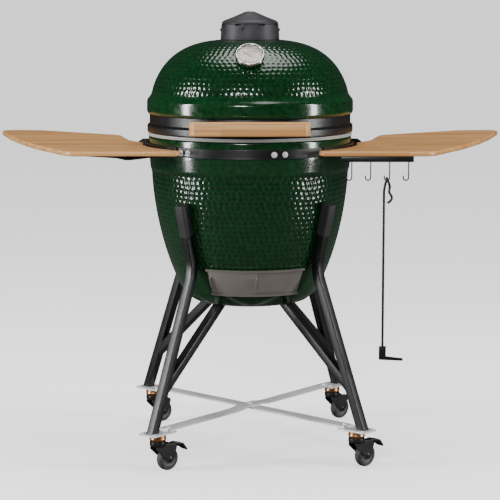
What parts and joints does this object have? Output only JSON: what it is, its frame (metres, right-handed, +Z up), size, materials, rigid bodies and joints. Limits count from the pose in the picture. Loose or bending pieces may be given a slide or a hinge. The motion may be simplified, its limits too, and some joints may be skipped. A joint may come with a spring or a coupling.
{
  "type": "kettle charcoal grill",
  "caption": "Egg-shaped ceramic charcoal grill with a hinged lid, top and bottom vents, folding bamboo side shelves and a wheeled steel stand.",
  "frame": {"origin": "floor level, at the middle of the overall bounding box seen from above", "axes": "+Z up, -Y towards the front with the handle and dial, +X to the right as seen from the front"},
  "size_m": [1.4162, 0.7885, 1.1534],
  "materials": {
    "green_glaze": "glossy deep green ceramic glaze",
    "fired_clay": "matte fired clay",
    "felt": "grey felt",
    "black_steel": "satin black powder coat",
    "cast_iron": "dark grey coated cast iron",
    "bamboo": "lacquered laminated bamboo",
    "stainless": "brushed stainless steel",
    "chrome": "polished",
    "rubber": "matte black",
    "tyre": "matte black",
    "dial_glass": "clear flat glass",
    "needle_red": "red"
  },
  "bodies": {
    "stand": {"bowl": "green_glaze", "bowl_band": "black_steel", "bowl_gasket": "felt", "caster_mount_front_left": "stainless", "caster_mount_front_right": "stainless", "caster_mount_rear_left": "stainless", "caster_mount_rear_right": "stainless", "charcoal_grate": "cast_iron", "cooking_grid": "stainless", "cross_bar_a": "stainless", "cross_bar_b": "stainless", "door_frame": "stainless", "fire_ring": "fired_clay", "firebox": "fired_clay", "hinge_bracket": "black_steel", "hinge_pin": "stainless", "hinge_spring_left": "stainless", "hinge_spring_right": "stainless", "leg_cap_front_left": "rubber", "leg_cap_front_right": "rubber", "leg_cap_rear_left": "rubber", "leg_cap_rear_right": "rubber", "leg_front_left": "black_steel", "leg_front_right": "black_steel", "leg_rear_left": "black_steel", "leg_rear_right": "black_steel", "shelf_bracket_left": "black_steel", "shelf_bracket_right": "black_steel"},
    "lid": {"lid_dome": "green_glaze", "lid_gasket": "felt", "lid_band": "black_steel", "hinge_arm": "black_steel", "handle_bar": "bamboo", "handle_bracket_left": "black_steel", "handle_bracket_right": "black_steel", "thermometer_case": "chrome", "thermometer_glass": "dial_glass", "vent_base": "cast_iron"},
    "needle": {"thermometer_needle": "needle_red"},
    "vent_cap": {"vent_cap": "cast_iron"},
    "draft_door": {"draft_door": "stainless"},
    "mesh_screen": {"mesh_screen": "stainless"},
    "shelf_left": {"shelf_left": "bamboo", "shelf_arms_left": "black_steel"},
    "shelf_right": {"shelf_right": "bamboo", "shelf_arms_right": "black_steel", "hook_rail": "black_steel"},
    "ash_tool": {"ash_tool": "black_steel"},
    "fork_front_left": {"caster_fork_front_left": "black_steel"},
    "wheel_front_left": {"wheel_front_left": "tyre"},
    "fork_front_right": {"caster_fork_front_right": "black_steel"},
    "wheel_front_right": {"wheel_front_right": "tyre"},
    "fork_rear_right": {"caster_fork_rear_right": "black_steel"},
    "wheel_rear_right": {"wheel_rear_right": "tyre"},
    "fork_rear_left": {"caster_fork_rear_left": "black_steel"},
    "wheel_rear_left": {"wheel_rear_left": "tyre"},
    "pedal_front_left": {"brake_pedal_front_left": "black_steel"},
    "pedal_front_right": {"brake_pedal_front_right": "black_steel"}
  },
  "joints": [
    {"name": "lid_hinge", "type": "hinge", "parent": "stand", "child": "lid", "pos_m": [0, 0.24765, 0.838], "axis": [-1, 0, 0], "range_deg": [0, 78], "stiffness_Nm_per_rad": 55, "springref_deg": 80.21},
    {"name": "needle_turn", "type": "hinge", "parent": "lid", "child": "needle", "pos_m": [0, -0.27626, 1.04711], "axis": [0, 0.7071, -0.7071], "range_deg": [0, 230]},
    {"name": "vent_turn", "type": "hinge", "parent": "lid", "child": "vent_cap", "pos_m": [0, -0.06445, 1.1205], "axis": [0, 0, 1], "range_deg": [-11, 11]},
    {"name": "door_slide", "type": "hinge", "parent": "stand", "child": "draft_door", "pos_m": [0, -0.06445, 0.4695], "axis": [0, 0, 1], "range_deg": [0, 31]},
    {"name": "screen_slide", "type": "hinge", "parent": "stand", "child": "mesh_screen", "pos_m": [0, -0.06445, 0.4695], "axis": [0, 0, 1], "range_deg": [0, 31]},
    {"name": "shelf_fold_left", "type": "hinge", "parent": "stand", "child": "shelf_left", "pos_m": [-0.3081, -0.06445, 0.7885], "axis": [0, -1, 0], "range_deg": [0, 90]},
    {"name": "shelf_fold_right", "type": "hinge", "parent": "stand", "child": "shelf_right", "pos_m": [0.3081, -0.06445, 0.7885], "axis": [0, 1, 0], "range_deg": [0, 90]},
    {"name": "tool_swing", "type": "hinge", "parent": "shelf_right", "child": "ash_tool", "pos_m": [0.3414, -0.31345, 0.7447], "axis": [0, 1, 0], "range_deg": [-90, 0]},
    {"name": "swivel_front_left", "type": "hinge", "parent": "stand", "child": "fork_front_left", "pos_m": [-0.23273, -0.34628, 0], "axis": [0, 0, 1], "continuous": true},
    {"name": "roll_front_left", "type": "hinge", "parent": "fork_front_left", "child": "wheel_front_left", "pos_m": [-0.21009, -0.32659, 0.03], "axis": [-0.6561, 0.7547, 0], "continuous": true},
    {"name": "swivel_front_right", "type": "hinge", "parent": "stand", "child": "fork_front_right", "pos_m": [0.27141, -0.30925, 0], "axis": [0, 0, 1], "continuous": true},
    {"name": "roll_front_right", "type": "hinge", "parent": "fork_front_right", "child": "wheel_front_right", "pos_m": [0.29405, -0.28957, 0.03], "axis": [-0.6561, 0.7547, 0], "continuous": true},
    {"name": "swivel_rear_right", "type": "hinge", "parent": "stand", "child": "fork_rear_right", "pos_m": [0.23273, 0.21738, 0], "axis": [0, 0, 1], "continuous": true},
    {"name": "roll_rear_right", "type": "hinge", "parent": "fork_rear_right", "child": "wheel_rear_right", "pos_m": [0.25537, 0.23706, 0.03], "axis": [-0.6561, 0.7547, 0], "continuous": true},
    {"name": "swivel_rear_left", "type": "hinge", "parent": "stand", "child": "fork_rear_left", "pos_m": [-0.27141, 0.18035, 0], "axis": [0, 0, 1], "continuous": true},
    {"name": "roll_rear_left", "type": "hinge", "parent": "fork_rear_left", "child": "wheel_rear_left", "pos_m": [-0.24876, 0.20004, 0.03], "axis": [-0.6561, 0.7547, 0], "continuous": true},
    {"name": "brake_front_left", "type": "hinge", "parent": "fork_front_left", "child": "pedal_front_left", "pos_m": [-0.19802, -0.3161, 0.063], "axis": [-0.6561, 0.7547, 0], "range_deg": [-15, 0]},
    {"name": "brake_front_right", "type": "hinge", "parent": "fork_front_right", "child": "pedal_front_right", "pos_m": [0.30612, -0.27908, 0.063], "axis": [-0.6561, 0.7547, 0], "range_deg": [-15, 0]}
  ],
  "couplings": [
    {"joint": "tool_swing", "follows": "shelf_fold_right", "ratio": -1}
  ]
}
